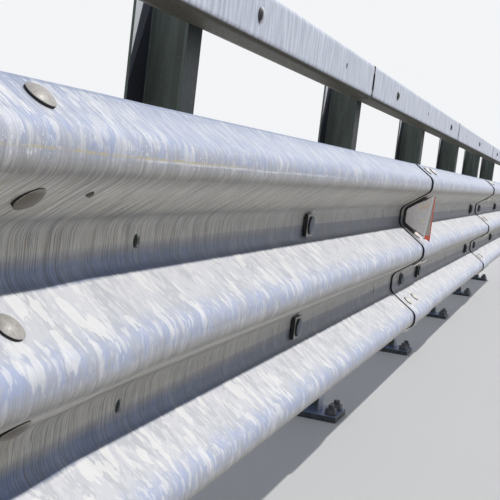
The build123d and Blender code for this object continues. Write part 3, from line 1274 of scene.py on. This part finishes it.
@dataclass
class Delineator:
    """The folded road edge of the delineator's plate: a pale fold line of painted highlight and a darker
    flap beyond it.
    """

    finishes: Finishes
    fold: float = 4.6 * MM
    proud: float = 0.7 * MM
    foot_set_in: float = 13.5 * MM
    corner: float = 12 * MM
    corner_set_in: float = 1.3 * MM
    dot: float = 3.0 * MM
    dot_turn: float = 0.7
    # Places of the painted glint specks and corners of the glint streak, as Y and Z in millimetres
    specks: tuple = ((-401.8, 798.1), (-382.6, 788.4), (-394.4, 746.0))
    streak: tuple = ((-388.0, 778.6), (-406.4, 788.0), (-407.0, 794.0), (-386.0, 784.0))

    @staticmethod
    def slab(corners: tuple | np.ndarray, x: float, thick: float) -> Shape:
        """A flat slab across the rail, with three or four corners.

        Args:
            corners: Pairs of Y and Z, clockwise as -X sees them with Y to the right.
            x: Its far face along the rail.
            thick: How far it stands toward -X.

        Returns:
            Points and faces.
        """
        flat, count = np.array(corners), len(corners)
        near = np.column_stack([np.full(count, x - thick), flat])
        far = np.column_stack([np.full(count, x + 0.2 * MM), flat])
        edge = np.arange(count)
        nxt = (edge + 1) % count
        sides = np.stack([nxt, edge, edge + count, nxt + count], -1)
        ends = np.array([[0, 1, 2, count - 1], [count, 2 * count - 1, count + 2, count + 1]])
        return np.concatenate([near, far]), np.concatenate([ends, sides])

    def build(self) -> None:
        """Makes the fold line, the flap with its red corner, and the specks and the streak of painted
        glints.
        """
        low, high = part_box("delineator_bracket")
        top, bottom, tip, face = high[2], low[2], low[1], low[0]
        inner, rise = tip + self.foot_set_in, bottom + self.corner
        fold = ((tip, top), (tip + self.fold, top - 1 * MM), (inner + self.fold, bottom + 1 * MM),
                (inner, bottom))
        flap = ((tip, top), (inner, bottom), (tip, bottom))
        corner = ((tip, rise), (inner - self.corner_set_in, rise), (inner, bottom), (tip, bottom))
        turns = np.arange(4) * -math.pi / 2 + self.dot_turn
        square = self.dot * np.column_stack([np.cos(turns), np.sin(turns)])
        dots = [self.slab(square + np.array(painted_glint) * MM, face, 0.4 * MM) for painted_glint in self.specks]
        coats = self.finishes
        for name, shape, material, slot in (
                ("delineator_fold_highlight", self.slab(fold, face, self.proud), coats.fold_highlight, Slot.PLATE),
                ("delineator_flap", self.slab(flap, face, self.proud / 2), coats.flap, Slot.PLATE),
                ("delineator_corner", self.slab(corner, face, self.proud * 0.8), coats.corner, Slot.RED),
                ("delineator_glint_specks", MeshKit.join(dots), coats.painted_glint, Slot.PLATE),
                ("delineator_glint_streak", self.slab(np.array(self.streak) * MM, face, 0.5 * MM), coats.streak,
                 Slot.PLATE)):
            MeshKit.make(name, shape, material, slot)


@dataclass
class Studio:
    """Pale floor, soft lights and the camera at the photograph's angle."""

    location: tuple[float, float, float] = (-1.7390, -0.7919, 0.8600)
    yaw: float = math.radians(18.15)
    pitch: float = math.radians(-5.32)
    roll: float = math.radians(6.78)
    focal: float = 953.5
    frame: int = 500
    sensor: float = 36.0
    clip: tuple[float, float] = (0.02, 400.0)
    floor_reach: float = 90.0
    floor_color: Color = srgb(222, 220, 216)
    sun_from: tuple[float, float, float] = (0.42, -0.575, 1.0)
    sun_energy: float = 2.05
    sun_angle: float = math.radians(0.8)
    fill: Color = (0.29, 0.32, 0.38, 1)
    backdrop: Color = (0.9, 0.91, 0.93, 1)

    def camera(self) -> None:
        """Aims the camera: forward from yaw and pitch, then rolled about its own line of sight."""
        forward = Vector((math.cos(self.pitch) * math.cos(self.yaw),
                          math.cos(self.pitch) * math.sin(self.yaw), math.sin(self.pitch)))
        level = forward.cross(UP).normalized()
        rise = level.cross(forward)
        right = math.cos(self.roll) * level + math.sin(self.roll) * rise
        up = -math.sin(self.roll) * level + math.cos(self.roll) * rise
        data = bpy.data.cameras.new("camera")
        data.sensor_fit = "HORIZONTAL"
        data.sensor_width = self.sensor
        data.lens = self.focal / self.frame * data.sensor_width
        data.clip_start, data.clip_end = self.clip
        camera = add_object("camera", data)
        turned = Matrix((right, up, -forward)).transposed().to_4x4()
        camera.matrix_world = Matrix.Translation(self.location) @ turned
        bpy.context.scene.camera = camera

    def floor(self) -> None:
        """A wide pale floor under the base plates."""
        low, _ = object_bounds()
        reach = self.floor_reach
        mesh = bpy.data.meshes.new("floor")
        mesh.from_pydata([(-reach, -reach, low[2]), (reach, -reach, low[2]), (reach, reach, low[2]),
                          (-reach, reach, low[2])], [], [(0, 1, 2, 3)])
        mesh.materials.append(PlainPaint("floor_paint", self.floor_color, 0.95).build())
        add_object("floor", mesh)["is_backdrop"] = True

    def lights(self) -> None:
        """A high sun ahead on the road side, and a pale sky that fills the shade softly."""
        sun = bpy.data.lights.new("sun", "SUN")
        sun.energy = self.sun_energy
        sun.angle = self.sun_angle
        lamp = add_object("sun", sun)
        lamp.rotation_euler = (-Vector(self.sun_from)).to_track_quat("-Z", "Y").to_euler()
        world = bpy.data.worlds.new("sky")
        world.use_nodes = True
        tree = world.node_tree
        path = tree.nodes.new("ShaderNodeLightPath").outputs
        seen = path["Is Camera Ray"]
        for ray in ("Is Glossy Ray", "Is Transmission Ray"):
            seen = add_node(tree, "ShaderNodeMath", {0: seen, 1: path[ray]}, operation="MAXIMUM").outputs[0]
        mix = add_node(tree, "ShaderNodeMix", {0: seen, 6: self.fill, 7: self.backdrop}, data_type="RGBA")
        back = tree.nodes["Background"]
        tree.links.new(mix.outputs[2], back.inputs["Color"])
        back.inputs["Strength"].default_value = 1.0
        bpy.context.scene.world = world
        bpy.context.scene.view_settings.view_transform = "Standard"


def dress(nodes: dict, prefix: str, material: Material) -> None:
    """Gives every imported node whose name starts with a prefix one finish.

    Args:
        nodes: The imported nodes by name.
        prefix: Start of the names.
        material: The finish.
    """
    for name, node in nodes.items():
        if name.startswith(prefix):
            node.data.materials.clear()
            node.data.materials.append(material)
            LOG.info("%s: %s", name, material.name)


def main() -> None:
    """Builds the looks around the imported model."""
    logging.basicConfig(level=logging.INFO, format="%(name)s %(message)s")
    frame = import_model()
    studio = Studio()
    studio.camera()
    beam = WaveBeam()
    finishes = Finishes(beam.middle)
    # The rail sleeves take the dark painted shade of the joints.
    for prefix, material in (("beam_", finishes.beam), ("upper_rail_", finishes.rail),
                             ("rail_sleeve_", finishes.painted_shade), ("post_", finishes.post),
                             ("base_plate_", finishes.base), ("spacer_", finishes.post),
                             ("washer_plates", finishes.washer), ("delineator_bracket", finishes.plate),
                             ("delineator_foot", finishes.pad), ("delineator_reflector", finishes.red)):
        dress(frame["nodes"], prefix, material)
    beam.build(finishes)
    Fasteners(beam, Posts(), finishes).build()
    RailSeams(finishes).build()
    Delineator(finishes).build()
    studio.floor()
    studio.lights()


if __name__ == "__main__":
    main()
